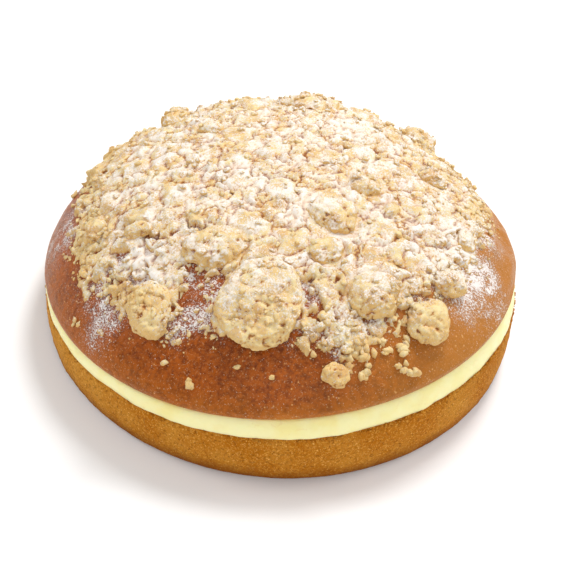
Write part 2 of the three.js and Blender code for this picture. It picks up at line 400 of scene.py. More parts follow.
class Finish:
    """A material under construction, with a short method for each kind of node that the finishes use."""

    def __init__(self, name: str) -> None:
        """Starts a material with its shader and the coordinates that its patterns follow.

        Args:
            name: The material's name.
        """
        self.material = bpy.data.materials.new(name)
        self.material.use_nodes = True
        self.tree = self.material.node_tree
        self.shader = self.tree.nodes["Principled BSDF"]
        self.where = self.add("ShaderNodeTexCoord").outputs["Object"]

    def add(self, kind: str) -> bpy.types.Node:
        """Adds a node."""
        return self.tree.nodes.new(kind)

    def feed(self, socket: Socket, value: Value) -> None:
        """Links a socket to another node's output, or sets it to a number or a colour.

        Args:
            socket: The input that gets the value.
            value: An output, a number or a colour.
        """
        if isinstance(value, Socket):
            self.tree.links.new(value, socket)
        elif isinstance(value, tuple):
            socket.default_value = (*value, 1.0)[: len(socket.default_value)]
        else:
            socket.default_value = value

    def paint(self, colour: Value, roughness: Value, specular: float) -> None:
        """Sets the shader's colour, roughness and specular level.

        Args:
            colour: The base colour.
            roughness: From 0, a mirror, to 1.
            specular: How much it shines.
        """
        self.feed(self.shader.inputs["Base Color"], colour)
        self.feed(self.shader.inputs["Roughness"], roughness)
        self.feed(self.shader.inputs["Specular IOR Level"], specular)

    def noise(self, grain: Grain) -> Socket:
        """Noise on the object's own coordinates.

        Args:
            grain: Its size and its make-up.

        Returns:
            A value from 0 to 1.
        """
        node = self.add("ShaderNodeTexNoise")
        self.feed(node.inputs["Vector"], self.where)
        self.feed(node.inputs["Scale"], 1 / (grain.size * MM))
        self.feed(node.inputs["Detail"], grain.detail)
        self.feed(node.inputs["Roughness"], grain.roughness)
        self.feed(node.inputs["Distortion"], grain.bend)
        return node.outputs["Fac"]

    def cells(self, size: float, output: str = "Distance") -> Socket:
        """A cell pattern on the object's own coordinates.

        Args:
            size: The mean spacing of the cells in millimetres.
            output: Distance from the cell's middle, or Color, the cell's random colour.

        Returns:
            That output.
        """
        node = self.add("ShaderNodeTexVoronoi")
        self.feed(node.inputs["Vector"], self.where)
        self.feed(node.inputs["Scale"], 1 / (size * MM))
        return node.outputs[output]

    def stored(self, name: str) -> Socket:
        """A number that the mesh keeps at each corner.

        Args:
            name: What it is kept as.

        Returns:
            The number.
        """
        node = self.add("ShaderNodeAttribute")
        node.attribute_name = name
        return node.outputs["Fac"]

    def reckon(self, sort: Sum, first: Value, second: Value = 0.0, clamp: bool = False) -> Socket:
        """One step of arithmetic.

        Args:
            sort: What is done.
            first: The first value.
            second: The second one, where the sort has two.
            clamp: Whether the result is held between 0 and 1.

        Returns:
            The result.
        """
        node = self.add("ShaderNodeMath")
        node.operation = sort.value
        node.use_clamp = clamp
        self.feed(node.inputs[0], first)
        self.feed(node.inputs[1], second)
        return node.outputs[0]

    def plus(self, first: Value, second: Value) -> Socket:
        """Two values added."""
        return self.reckon(Sum.PLUS, first, second)

    def times(self, first: Value, second: Value) -> Socket:
        """Two values multiplied."""
        return self.reckon(Sum.TIMES, first, second)

    def wandering(self, value: Value, wander: Wander) -> Socket:
        """A value in millimetres that noise adds to, so that an edge drawn from it wanders."""
        return self.plus(value, self.times(self.noise(wander.grain), wander.by))

    def between(self, value: Value, low: float, high: float) -> Socket:
        """A smooth step from one value to another.

        Args:
            value: What it follows.
            low: Where it is 0.
            high: Where it is 1. Below low, the step runs the other way.

        Returns:
            A value from 0 to 1.
        """
        node = self.add("ShaderNodeMapRange")
        node.interpolation_type = "SMOOTHSTEP"
        turned = low > high
        self.feed(node.inputs["Value"], value)
        self.feed(node.inputs["From Min"], min(low, high))
        self.feed(node.inputs["From Max"], max(low, high))
        self.feed(node.inputs["To Min"], 1.0 if turned else 0.0)
        self.feed(node.inputs["To Max"], 0.0 if turned else 1.0)
        return node.outputs["Result"]

    def patches(self, patches: Patches) -> Socket:
        """Where patches lie, from 0 to their share."""
        mask = self.between(self.noise(patches.grain), patches.begin, patches.full)
        return mask if patches.share == 1 else self.times(mask, patches.share)

    def mix(self, share: Value, under: Value, over: Value) -> Socket:
        """Lays one colour over another.

        Args:
            share: How much of the upper one shows.
            under: The lower colour.
            over: The upper colour.

        Returns:
            The mixed colour.
        """
        node = self.add("ShaderNodeMix")
        node.data_type = "RGBA"
        self.feed(node.inputs[0], share)
        self.feed(node.inputs[6], under)
        self.feed(node.inputs[7], over)
        return node.outputs[2]

    def axis(self, name: str) -> Socket:
        """One of the object's coordinates.

        Args:
            name: X, Y or Z.

        Returns:
            The coordinate in millimetres.
        """
        node = self.add("ShaderNodeSeparateXYZ")
        self.feed(node.inputs[0], self.where)
        return self.times(node.outputs[name], 1 / MM)

    def upward(self) -> Socket:
        """How far the surface faces up.

        Returns:
            A value from -1 to 1.
        """
        node = self.add("ShaderNodeSeparateXYZ")
        self.feed(node.inputs[0], self.add("ShaderNodeNewGeometry").outputs["Normal"])
        return node.outputs["Z"]

    def distance(self, x: float, y: float) -> Socket:
        """How far a place is from an upright line.

        Args:
            x: The line's X in millimetres.
            y: The line's Y.

        Returns:
            The distance in millimetres.
        """
        off_x = self.reckon(Sum.MINUS, self.axis("X"), x)
        off_y = self.reckon(Sum.MINUS, self.axis("Y"), y)
        squares = self.plus(self.reckon(Sum.POWER, off_x, 2.0), self.reckon(Sum.POWER, off_y, 2.0))
        return self.reckon(Sum.ROOT, squares)

    def relief(self, *layers: tuple[Socket, float]) -> None:
        """Gives the shader a bumped normal.

        Args:
            layers: Heights from 0 to 1, each with its depth in millimetres.
        """
        last = None
        for height, depth in layers:
            node = self.add("ShaderNodeBump")
            self.feed(node.inputs["Distance"], depth * MM)
            self.feed(node.inputs["Height"], height)
            if last is not None:
                self.feed(node.inputs["Normal"], last)
            last = node.outputs["Normal"]
        self.feed(self.shader.inputs["Normal"], last)

    def soft(self, weight: float, radius: Colour, scale: float) -> None:
        """Lets light sink into the surface.

        Args:
            weight: How much of it sinks in.
            radius: How far red, green and blue travel, as shares of the scale.
            scale: The scale in millimetres.
        """
        self.feed(self.shader.inputs["Subsurface Weight"], weight)
        self.shader.inputs["Subsurface Radius"].default_value = radius
        self.feed(self.shader.inputs["Subsurface Scale"], scale * MM)


@dataclass(frozen=True)
class Sugar:
    """Icing sugar that has fallen from above: thick in the middle of the loaf and in drifts beyond it.

    Drifts and heaps are rounds of more sugar, each with its x, its y and its radius.
    """

    colour: Colour = (0.89, 0.85, 0.82)
    opacity: float = 0.88
    veil: float = 0.06
    heaped: float = 0.6
    middle: float = 4.0
    reach: float = 82.0
    end: float = 110.0
    ragged: Wander = Wander(Grain(16, 4), 46.0)
    patches: Patches = Patches(Grain(8, 4, 0.6), 0.34, 0.66)
    scant: float = 0.15
    grain: Grain = Grain(0.8, 4, 0.75)
    grain_edge: tuple[float, float] = (0.62, 0.72)
    slope: tuple[float, float] = (0.1, 0.75)
    drift_edge: tuple[float, float] = (1.35, 0.3)
    heap_edge: tuple[float, float] = (1.3, 0.2)
    drifts: tuple[tuple[float, float, float], ...] = (
        (-78.0, -72.0, 14.0),
        (-38.0, -82.0, 13.0),
        (-66.0, -46.0, 22.0),
        (86.0, -44.0, 24.0),
        (97.0, -12.0, 16.0),
        (-104.0, -12.0, 20.0),
        (26.0, -98.0, 9.0),
    )
    heaps: tuple[tuple[float, float, float], ...] = (
        (-17.0, -12.0, 11.0),
        (83.0, -32.0, 21.0),
        (78.0, -56.0, 11.0),
        (-60.0, -58.0, 15.0),
        (8.0, -28.0, 12.0),
        (-37.0, -84.0, 9.0),
        (-77.0, -73.0, 9.0),
        (30.0, 40.0, 16.0),
    )

    def share(self, finish: Finish, most: float, least: float) -> Socket:
        """How much sugar lies at a place.

        Args:
            finish: The material that gets it.
            most: The level where it lies thickest.
            least: The level beyond its reach, where single grains lie.

        Returns:
            A value from 0 to 1 that is broken up into grains.
        """
        ragged = finish.times(finish.reckon(Sum.MINUS, finish.noise(self.ragged.grain), 0.5), self.ragged.by)
        out = finish.plus(finish.distance(self.middle, self.middle), ragged)
        zone = finish.between(out, self.end, self.reach)
        for x, y, wide in self.drifts:
            outer, inner = (wide * share for share in self.drift_edge)
            drift = finish.between(finish.plus(finish.distance(x, y), ragged), outer, inner)
            zone = finish.reckon(Sum.LARGER, zone, drift)
        patch = finish.patches(self.patches)
        for x, y, wide in self.heaps:
            outer, inner = (wide * share for share in self.heap_edge)
            spread = finish.plus(finish.distance(x, y), finish.times(ragged, 0.5))
            heap = finish.between(spread, outer, inner)
            patch = finish.plus(patch, finish.times(heap, self.heaped))
        level = finish.times(zone, finish.times(finish.plus(patch, self.scant), most))
        level = finish.times(level, finish.between(finish.upward(), *self.slope))
        level = finish.plus(level, least)
        grains = finish.plus(finish.noise(self.grain), finish.times(level, 0.5))
        grains = finish.times(finish.between(grains, *self.grain_edge), self.opacity)
        return finish.reckon(Sum.LARGER, grains, finish.times(finish.between(level, 0.0, 0.45), self.veil))


@dataclass(frozen=True)
class GlazedCrust:
    """The egg-washed crust of the dome: red-brown, golden where it meets the cream, with pale pores, painted
    glints and painted light on its right side.
    """

    deep: Colour = (0.17, 0.033, 0.004)
    warm: Colour = (0.37, 0.083, 0.006)
    golden: Colour = (0.52, 0.175, 0.015)
    # Painted light: the lighter colour of the crust's right side, where the lights fall.
    painted_light_tan: Colour = (0.46, 0.185, 0.03)
    # The pale colour of the pores, also used for the painted glints.
    pore_and_glint: Colour = (0.72, 0.4, 0.15)
    broad: Grain = Grain(24)
    fine: Grain = Grain(2.6, 4, 0.7)
    mottle_edge: tuple[float, float] = (0.37, 0.59)
    low_band: tuple[float, float] = (58.0, 42.0)
    low_edge: Wander = Wander(Grain(14), 16.0)
    front_right: tuple[float, float] = (-70.0, 40.0)
    lit_side: tuple[float, float] = (15.0, 105.0)
    lit_side_edge: Wander = Wander(Grain(18), 30.0)
    # Painted glints: fine pale specks that stand in for glints of light.
    glint_specks: Patches = Patches(Grain(0.8, 3, 0.75), 0.55, 0.64, 0.28)
    pore_spacing: float = 2.3
    pore_fields: Patches = Patches(Grain(7, 2), 0.48, 0.6)
    dusted: float = 0.42
    specular: float = 0.14

    def make(self, sugar: Sugar) -> bpy.types.Material:
        """Builds the material.

        Args:
            sugar: The icing sugar that lies on it.

        Returns:
            The material.
        """
        f = Finish("upper_crust")
        mottled = f.plus(f.times(f.noise(self.broad), 0.3), f.times(f.noise(self.fine), 0.7))
        colour = f.mix(f.between(mottled, *self.mottle_edge), self.deep, self.warm)
        low = f.between(f.wandering(f.axis("Z"), self.low_edge), *self.low_band)
        front_right = f.plus(f.times(f.between(f.axis("X"), *self.front_right), 0.55), 0.25)
        colour = f.mix(f.times(low, front_right), colour, self.golden)
        # Painted light: the right side of the crust is made lighter where the lights fall on it.
        lit_right = f.between(f.wandering(f.axis("X"), self.lit_side_edge), *self.lit_side)
        colour = f.mix(f.times(lit_right, 0.8), colour, self.painted_light_tan)
        # Painted glints: fine pale specks on the crust stand in for glints of light.
        colour = f.mix(f.patches(self.glint_specks), colour, self.pore_and_glint)
        pores = f.times(f.between(f.cells(self.pore_spacing), 0.24, 0.1), f.patches(self.pore_fields))
        colour = f.mix(f.times(pores, 0.75), colour, self.pore_and_glint)
        dusting = sugar.share(f, self.dusted, 0.0)
        rough = f.plus(f.times(dusting, 0.5), f.times(f.noise(Grain(3)), 0.7))
        f.paint(f.mix(dusting, colour, sugar.colour), rough, self.specular)
        f.relief((f.noise(Grain(5, 4, 0.6)), 0.7), (f.noise(Grain(1.1, 4, 0.7)), 0.25), (dusting, 0.15))
        return f.material


@dataclass(frozen=True)
class BakedWall:
    """The lower half's wall: dry golden crumb, finely pitted, with painted shade browning it towards its
    foot and painted light making its left side paler.
    """

    golden: Colour = (0.52, 0.165, 0.005)
    pale: Colour = (0.8, 0.4, 0.06)
    speck: Colour = (0.95, 0.56, 0.14)
    # The brown of the dark specks, also used as painted shade towards the foot.
    brown: Colour = (0.23, 0.058, 0.002)
    clouds: Patches = Patches(Grain(19, 4), 0.4, 0.68, 0.35)
    # Painted light: where the wall's left side is made paler.
    lit_left_side: tuple[float, float] = (-55.0, -108.0)
    crumb: Patches = Patches(Grain(1.2, 4, 0.75), 0.53, 0.62, 0.7)
    specks: Patches = Patches(Grain(0.9, 3, 0.8), 0.58, 0.64, 0.8)
    pits: Patches = Patches(Grain(1.4, 4, 0.75, 0.4), 0.47, 0.36, 0.65)
    # Painted shade: the band towards the foot that is browned.
    foot_shade_band: tuple[float, float] = (17.0, 3.0)
    foot_shade_edge: Wander = Wander(Grain(9), 8.0)
    roughness: float = 0.75
    specular: float = 0.08

    def make(self) -> bpy.types.Material:
        """Builds the material.

        Returns:
            The material.
        """
        f = Finish("lower_crust")
        colour = f.mix(f.patches(self.clouds), self.golden, self.pale)
        # Painted light: the left side of the wall is made paler where the left light falls.
        colour = f.mix(f.times(f.between(f.axis("X"), *self.lit_left_side), 0.45), colour, self.pale)
        colour = f.mix(f.patches(self.crumb), colour, self.pale)
        colour = f.mix(f.patches(self.specks), colour, self.speck)
        colour = f.mix(f.patches(self.pits), colour, self.brown)
        # Painted shade: the wall is browned towards its foot, where little light reaches.
        foot = f.between(f.wandering(f.axis("Z"), self.foot_shade_edge), *self.foot_shade_band)
        f.paint(f.mix(f.times(foot, 0.9), colour, self.brown), self.roughness, self.specular)
        f.relief((f.noise(Grain(3.2, 5, 0.7)), 1.1), (f.noise(Grain(1.1, 4, 0.75)), 0.8))
        return f.material


@dataclass(frozen=True)
class PastryCream:
    """Set pastry cream: pale yellow, smooth and a little moist."""

    pale: Colour = (0.95, 0.88, 0.46)
    yellow: Colour = (0.93, 0.82, 0.34)
    smudge: Colour = (0.82, 0.6, 0.24)
    clouds: Patches = Patches(Grain(12), 0.35, 0.7)
    smudges: Patches = Patches(Grain(4.5, 4, 0.7, 0.6), 0.6, 0.72, 0.4)
    specular: float = 0.35
    depth_of_light: Colour = (1.0, 0.8, 0.35)

    def make(self) -> bpy.types.Material:
        """Builds the material.

        Returns:
            The material.
        """
        f = Finish("cream")
        colour = f.mix(f.patches(self.clouds), self.pale, self.yellow)
        colour = f.mix(f.patches(self.smudges), colour, self.smudge)
        f.paint(colour, f.plus(f.times(f.noise(Grain(4, 2)), 0.3), 0.22), self.specular)
        f.soft(0.25, self.depth_of_light, 2.5)
        f.relief((f.noise(Grain(6)), 0.6), (f.noise(Grain(1.4)), 0.1))
        return f.material


@dataclass(frozen=True)
class Streusel:
    """Baked butter crumb: sandy gold, browner on some crumbs, pitted and dry, with painted shade in its
    hollows and on its sides that turn from the light.
    """

    sand: Colour = (0.75, 0.52, 0.21)
    pale: Colour = (0.81, 0.65, 0.33)
    golden: Colour = (0.74, 0.46, 0.15)
    # The colour of browner crumbs, also used as painted shade in hollows.
    toasted_and_shade: Colour = (0.55, 0.27, 0.075)
    # Painted shade in the deepest creases.
    deep_shade: Colour = (0.27, 0.085, 0.02)
    clouds: Patches = Patches(Grain(9), 0.38, 0.62)
    browned: Patches = Patches(Grain(1.6, 4, 0.7), 0.5, 0.66, 0.4)
    crumb_size: float = 5.5
    darker_crumbs: tuple[float, float] = (0.66, 0.95)
    # Painted shade: how far a face turns from the light above before it is darkened.
    shaded_sides: tuple[float, float] = (0.75, 0.15)
    # Where the painted shade in hollows and in the deepest creases starts and where it is full.
    hollow: tuple[float, float] = (0.3, 0.75)
    deep_hollow: tuple[float, float] = (0.6, 1.0)
    roughness: float = 0.85
    specular: float = 0.2

    def make(self, name: str, sugar: Sugar, most: float, least: float) -> bpy.types.Material:
        """Builds the material.

        Args:
            name: The material's name.
            sugar: The icing sugar that lies on it.
            most: The level of sugar in the middle.
            least: The level at the edge.

        Returns:
            The material.
        """
        f = Finish(name)
        colour = f.mix(f.patches(self.clouds), self.sand, self.pale)
        tint = f.add("ShaderNodeSeparateColor")
        f.feed(tint.inputs[0], f.cells(self.crumb_size, "Color"))
        darker = f.between(tint.outputs[0], *self.darker_crumbs)
        colour = f.mix(f.times(darker, 0.5), colour, self.toasted_and_shade)
        colour = f.mix(f.patches(self.browned), colour, self.toasted_and_shade)
        # Painted shade: faces that turn away from the light above are made a deeper golden.
        colour = f.mix(f.times(f.between(f.upward(), *self.shaded_sides), 0.7), colour, self.golden)
        # Painted shade: hollows are darkened to a warm brown, the deepest creases to a dark brown, and the
        # sugar is thinned there.
        colour = f.mix(f.between(f.stored("hollow"), *self.hollow), colour, self.toasted_and_shade)
        colour = f.mix(f.between(f.stored("hollow"), *self.deep_hollow), colour, self.deep_shade)
        sugar_kept_out_of_shade = f.reckon(Sum.MINUS, 1.0, f.times(f.stored("hollow"), 0.7), True)
        dusting = f.times(sugar.share(f, most, least), sugar_kept_out_of_shade)
        f.paint(f.mix(dusting, colour, sugar.colour), self.roughness, self.specular)
        f.relief((f.noise(Grain(2.4, 4, 0.7)), 0.35), (f.noise(Grain(0.9, 3, 0.7)), 0.2), (dusting, 0.1))
        return f.material


# ---- The halves and the cream ------------------------------------------------------------------


@dataclass
class LowerHalf:
    """The lower half of the bread: an upright wall on a flat foot, with its rough skin from the oven."""

    shape: LoafShape
    steps: int = 420
    rows: int = 44
    smoothings: int = 4
    grain: float = 0.22
    swelling: float = 0.45
    inner_end: float = 0.9118
    flat_foot: tuple[float, float] = (0.4, 2.5)
    wall: tuple[tuple[float, float], ...] = (
        (0.976, 0.0),
        (0.99, 0.03),
        (1.003, 0.12),
        (1.012, 0.34),
        (1.014, 0.65),
        (1.008, 0.88),
        (0.994, 1.0),
    )

    def build(self, finish: bpy.types.Material) -> bpy.types.Object:
        """Spins the wall, roughens it and shows it in place of its solid.

        Args:
            finish: The piece's material.

        Returns:
            The piece.
        """
        flat = [(0.0, 0.0), (0.5, 0.0), (0.9, 0.0), (0.958, 0.0), (0.972, 0.0)]
        levels = np.linspace(0, 1, self.rows)
        shares = np.interp(levels, [level for _, level in self.wall], [share for share, _ in self.wall])
        for _ in range(self.smoothings):
            shares[1:-1] = 0.5 * shares[1:-1] + 0.25 * (shares[:-2] + shares[2:])
        wall = list(zip(shares.tolist(), levels.tolist()))
        top = [(0.98, 1.0), (0.9, 1.0), (0.5, 1.0), (0.0, 1.0)]
        mesh = spun("lower_half_bread", flat + wall + top, self.steps, self._place)
        self._roughen(mesh)
        return shown(mesh, finish, "lower_crust", "lower_half")

    def _place(self, share: Array, angle: Array, level: Array) -> tuple[Array, Array, Array]:
        """Puts points of the profile on the loaf.

        Args:
            share: Shares of the loaf's radius.
            angle: Angles about Z.
            level: Levels of the profile.

        Returns:
            The points' X, Y and Z.
        """
        reach = share * self.shape.lower_outline(angle)
        x, y = reach * np.cos(angle), reach * np.sin(angle)
        return x, y, level * self.shape.lower_cut.at(x, y)

    def _roughen(self, mesh: bpy.types.Mesh) -> None:
        """Presses pits and low swellings into the wall, and leaves the foot flat.

        Args:
            mesh: The spun lower half.
        """
        points = coordinates(mesh)
        start, rise = self.flat_foot
        standing = np.clip((points[:, 2] - start) / rise, 0, 1)
        wall = standing * (np.hypot(points[:, 0], points[:, 1]) > self.inner_end * self.shape.radius)
        pits, swellings = fractal(points, 2.4, 3, 3.0), fractal(points, 21.0, 2, 9.0)
        depth = self.grain * pits + self.swelling * swellings - self.swelling
        set_coordinates(mesh, points + normals(mesh) * (wall * depth)[:, None])


@dataclass
class CreamLayer:
    """The pastry cream, which bulges at its rim and hangs a little over the wall below."""

    shape: LoafShape
    steps: int = 420
    wander: float = 0.0055
    hanging: tuple[float, float] = (0.05, 1.5)

    def build(self, finish: bpy.types.Material) -> bpy.types.Object:
        """Spins the layer and shows it in place of its solid.

        Args:
            finish: The piece's material.

        Returns:
            The piece.
        """
        inner = [(0.0, 0.0), (0.5, 0.0), (0.93, 0.0), (0.975, 0.0)]
        lip = [(0.993, 0.0), (0.998, -0.03), (1.001, -0.06), (1.003, -0.05), (1.004, -0.01)]
        rim = [(1.0045, 0.1), (1.004, 0.25), (1.0025, 0.42), (1.0, 0.6), (0.996, 0.77), (0.99, 0.9)]
        top = [(0.98, 1.0), (0.975, 1.0), (0.93, 1.0), (0.5, 1.0), (0.0, 1.0)]
        mesh = spun("cream_filling", inner + lip + rim + top, self.steps, self._place)
        return shown(mesh, finish, "cream", "cream")

    def _place(self, share: Array, angle: Array, level: Array) -> tuple[Array, Array, Array]:
        """Puts points of the profile between the cuts, with the rim uneven and the lip hanging over.

        Args:
            share: Shares of the loaf's radius.
            angle: Angles about Z.
            level: Levels of the profile.

        Returns:
            The points' X, Y and Z.
        """
        ring = np.stack([np.cos(angle) * 100, np.sin(angle) * 100, level * 5], -1)
        rim = np.clip((share - 0.97) / 0.02, 0, 1)
        wavy = self.wander * fractal(ring, 24.0, 3, 2.0) + 0.4 * self.wander * fractal(ring, 6.0, 2, 5.0)
        low_share = np.clip(1 - level, 0, 1)
        outline = low_share * self.shape.lower_outline(angle) + (1 - low_share) * self.shape.outline(angle)
        reach = (share + rim * (wavy - 0.5 * self.wander)) * outline
        x, y = reach * np.cos(angle), reach * np.sin(angle)
        low = self.shape.lower_cut.at(x, y) + self.shape.gap
        high = self.shape.upper_cut.at(x, y) - 0.5 * self.shape.gap
        hang = np.clip(2.6 * fractal(ring * np.array([1, 1, 0]), 13.0, 4, 7.0) - 0.1, *self.hanging)
        return x, y, low + (high - low) * np.where(level < 0, level * hang, level)


@dataclass
class UpperHalf:
    """The domed upper half, with its soft dents, the folds on its right and the crumbs stuck to it."""

    shape: LoafShape
    steps: int = 420
    rings: int = 120
    crowding: float = 0.96
    dent: float = 0.45
    uneven: float = 0.16
    fold: float = 0.95
    fold_width: float = 1.9
    fold_middle: tuple[float, float] = (-0.05, 54.0)
    fold_spread: tuple[float, float] = (0.32, 13.0)

    def build(self, finish: bpy.types.Material) -> bpy.types.Object:
        """Spins the dome, gives it its relief and shows it in place of its solid.

        Args:
            finish: The piece's material.

        Returns:
            The piece.
        """
        edge = 1 - self.shape.tuck_depth / self.shape.radius
        under = [(0.0, 0.0), (0.5, 0.0), (0.9, 0.0)]
        quarter = np.linspace(0, math.pi / 2, 9)[:-1]
        tuck = [(edge + (1 - edge) * math.sin(q), 1 - math.cos(q)) for q in quarter]
        turn = (math.pi / 2) * np.linspace(0, 1, self.rings) ** self.crowding
        dome = [(math.cos(q) ** (2 / self.shape.dome_spread), 1 + i) for i, q in enumerate(turn[:-1])]
        profile = under + tuck + dome + [(0.0, float(self.rings))]
        mesh = spun("upper_half_crust", profile, self.steps, self._place)
        self._dent(mesh)
        return shown(mesh, finish, "upper_crust", "upper_half")

    def _place(self, share: Array, angle: Array, level: Array) -> tuple[Array, Array, Array]:
        """Puts points of the profile on the under face, the tucked edge or the dome.

        Args:
            share: Shares of the loaf's radius.
            angle: Angles about Z.
            level: Levels of the profile.

        Returns:
            The points' X, Y and Z.
        """
        reach = share * self.shape.outline(angle)
        x, y = reach * np.cos(angle), reach * np.sin(angle)
        low = self.shape.upper_cut.at(x, y) + self.shape.tuck_height * np.minimum(level, 1)
        return x, y, np.where(level < 1, low, self.shape.dome(x, y))

    def _dent(self, mesh: bpy.types.Mesh) -> None:
        """Adds dents, fine unevenness and the folds of dough on the right flank.

        Args:
            mesh: The spun upper half.
        """
        points = coordinates(mesh)
        x, y, z = points.T
        angle = np.arctan2(y, x)
        skin = np.clip((z - self.shape.upper_cut.at(x, y) - 0.5) / 6, 0, 1)
        relief = self.dent * fractal(points, 30.0, 3, 1.0) + self.uneven * fractal(points, 6.5, 3, 4.0)
        along, up = angle - self.fold_middle[0], z - self.fold_middle[1]
        side = np.exp(-((along / self.fold_spread[0]) ** 2)) * np.exp(-((up / self.fold_spread[1]) ** 2))
        turn = z / self.fold_width + 2.5 * np.sin(angle * 4 + 0.6) + 1.5 * fractal(points, 16.0, 2, 6.0)
        depth = skin * (relief + self.fold * side * np.sin(turn) - self.dent)
        set_coordinates(mesh, points + normals(mesh) * depth[:, None])


# ---- Streusel ----------------------------------------------------------------------------------


@dataclass
class StreuselBed:
    """The streusel between the lumps, as a relief over the dome that is broken up into crumbs.

    Bare rounds hold none and full ones reach out past its edge: x, y and radius of each, and for a bare
    one the most that it counts as outside.
    """

    shape: LoafShape
    cell: float = 0.66
    spread: float = 1.12
    margin: float = 9.0
    tallest: float = 5.2
    capped: float = 2.0
    sunk: float = -1.2
    skirt: float = 2.5
    chunk_sizes: tuple[float, float, float] = (14.0, 6.8, 3.0)
    chunk_seeds: tuple[float, float, float] = (1.0, 5.0, 8.0)
    ragged: tuple[float, float, float] = (6.0, 10.0, 9.0)
    moat_end: float = 1.05
    moat_width: float = 0.12
    moat_height: float = 1.5
    bare: tuple[tuple[float, float, float, float], ...] = (
        (-37.0, -80.0, 11.0, 20.0),
        (-31.0, -70.0, 6.0, 20.0),
        (-3.0, 73.6, 6.0, 20.0),
        (-58.0, -56.0, 24.0, -3.5),
        (24.0, -84.0, 15.0, -2.0),
        (88.0, -40.0, 16.0, -2.0),
    )
    full: tuple[tuple[float, float, float], ...] = (
        (-96.0, 4.0, 7.0),
        (-90.0, 28.0, 11.0),
        (-76.0, 52.0, 12.0),
    )

    def build(self, finish: bpy.types.Material) -> bpy.types.Object:
        """Builds the relief, closes it below and shows it in place of its solid.

        Args:
            finish: The piece's material.

        Returns:
            The piece.
        """
        half = self.shape.cover_radius * self.spread + self.margin
        count = int(2 * half / self.cell)
        ticks = np.linspace(-half, half, count + 1)
        x, y = np.meshgrid(ticks, ticks, indexing="ij")
        height, hollow = self._relief(x, y)
        bm = bmesh.new()
        bmesh.ops.create_grid(bm, x_segments=count, y_segments=count, size=half)
        at = [self._index(corner.co, half, count) for corner in bm.verts]
        points = self.shape.over_dome(x, y, height)
        kept = np.hypot(x, y) < self.shape.cover_outline(np.arctan2(y, x)) + self.margin
        layer = bm.verts.layers.float.new("hollow")
        for corner, (i, j) in zip(bm.verts, at):
            corner.co = points[i, j] * MM
            corner[layer] = hollow[i, j]
        far = [corner for corner, (i, j) in zip(bm.verts, at) if not kept[i, j]]
        bmesh.ops.delete(bm, geom=far, context="VERTS")
        self._close_below(bm)
        return shown(written(bm, "streusel_bed"), finish, "streusel", "streusel_cover")

    @staticmethod
    def _index(co: Vector, half: float, count: int) -> tuple[int, int]:
        """The row and column of a grid's corner."""
        return round((co.x + half) / (2 * half) * count), round((co.y + half) / (2 * half) * count)

    def _relief(self, x: Array, y: Array) -> tuple[Array, Array]:
        """The streusel's height off the crust, and how deep in a hollow each point lies.

        Args:
            x: The grid's X.
            y: The grid's Y.

        Returns:
            The height in millimetres and the hollow from 0 to 1.
        """
        flat = np.stack([x.ravel(), y.ravel(), np.zeros(x.size)], -1)
        (large, large_luck), (middle, middle_luck), (small, small_luck) = [
            [values.reshape(x.shape) for values in chunks(flat, size, seed)]
            for size, seed in zip(self.chunk_sizes, self.chunk_seeds)
        ]
        outside = np.hypot(x, y) - self.shape.cover_outline(np.arctan2(y, x))
        for at_x, at_y, wide in self.full:
            outside = np.minimum(outside, np.hypot(x - at_x, y - at_y) - wide)
        for at_x, at_y, wide, most in self.bare:
            outside = np.maximum(outside, np.minimum(wide - np.hypot(x - at_x, y - at_y), most))
        ragged = outside
        for depth, luck in zip(self.ragged, (large_luck, middle_luck, small_luck)):
            ragged = ragged + depth * (luck - 0.5)
        edge = np.clip(0.5 - blurred(ragged, 1) / 3.0, 0, 1)
        solid = blurred(self._solid_heights(x, y, outside), 6)
        broken = np.clip(1.7 - 1.9 * large_luck, 0.25, 1)
        height = 0.25 * solid + 4.2 * large_luck * large**1.7 + broken * (0.5 + 2.5 * middle_luck) * middle
        grain = fractal(flat, 1.9, 3, 2.5).reshape(x.shape)
        height += broken * (0.2 + 1.1 * small_luck) * small + 0.35 * grain
        moat = self._moat(x, y)
        height = height * (1 - moat) + np.minimum(height, self.moat_height) * moat
        high = self.tallest - self.capped
        over = self.capped * np.tanh((height - high) / self.capped)
        height = np.where(height > high, high + over, height)
        height = np.where(ragged > 3, self.sunk, height * np.sqrt(edge) - 0.8 * (1 - edge))
        # How deep each point lies in a hollow, which the streusel material darkens as painted shade.
        deep = (blurred(height, 14) - height) / 1.2
        return height, np.clip(deep + 0.4 * broken * (1 - middle) + 0.4 * (1 - large), 0, 1)

    def _moat(self, x: Array, y: Array) -> Array:
        """Where the bed lies lower because a lump stands in it.

        Args:
            x: The grid's X.
            y: The grid's Y.

        Returns:
            1 under a lump and close round it, and 0 farther off.
        """
        moat = np.zeros_like(x)
        for node in lump_nodes():
            points = coordinates(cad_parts[node].data)[:, :2]
            middle = (points.min(axis=0) + points.max(axis=0)) / 2
            inverse = np.linalg.inv(np.cov((points - middle).T))
            offsets = np.stack([x - middle[0], y - middle[1]], -1)
            own = np.sqrt(np.einsum("ij,jk,ik->i", points - middle, inverse, points - middle).max())
            away = np.sqrt(np.einsum("abj,jk,abk->ab", offsets, inverse, offsets)) / own
            moat = np.maximum(moat, np.clip((self.moat_end - away) / self.moat_width, 0, 1))
        return moat

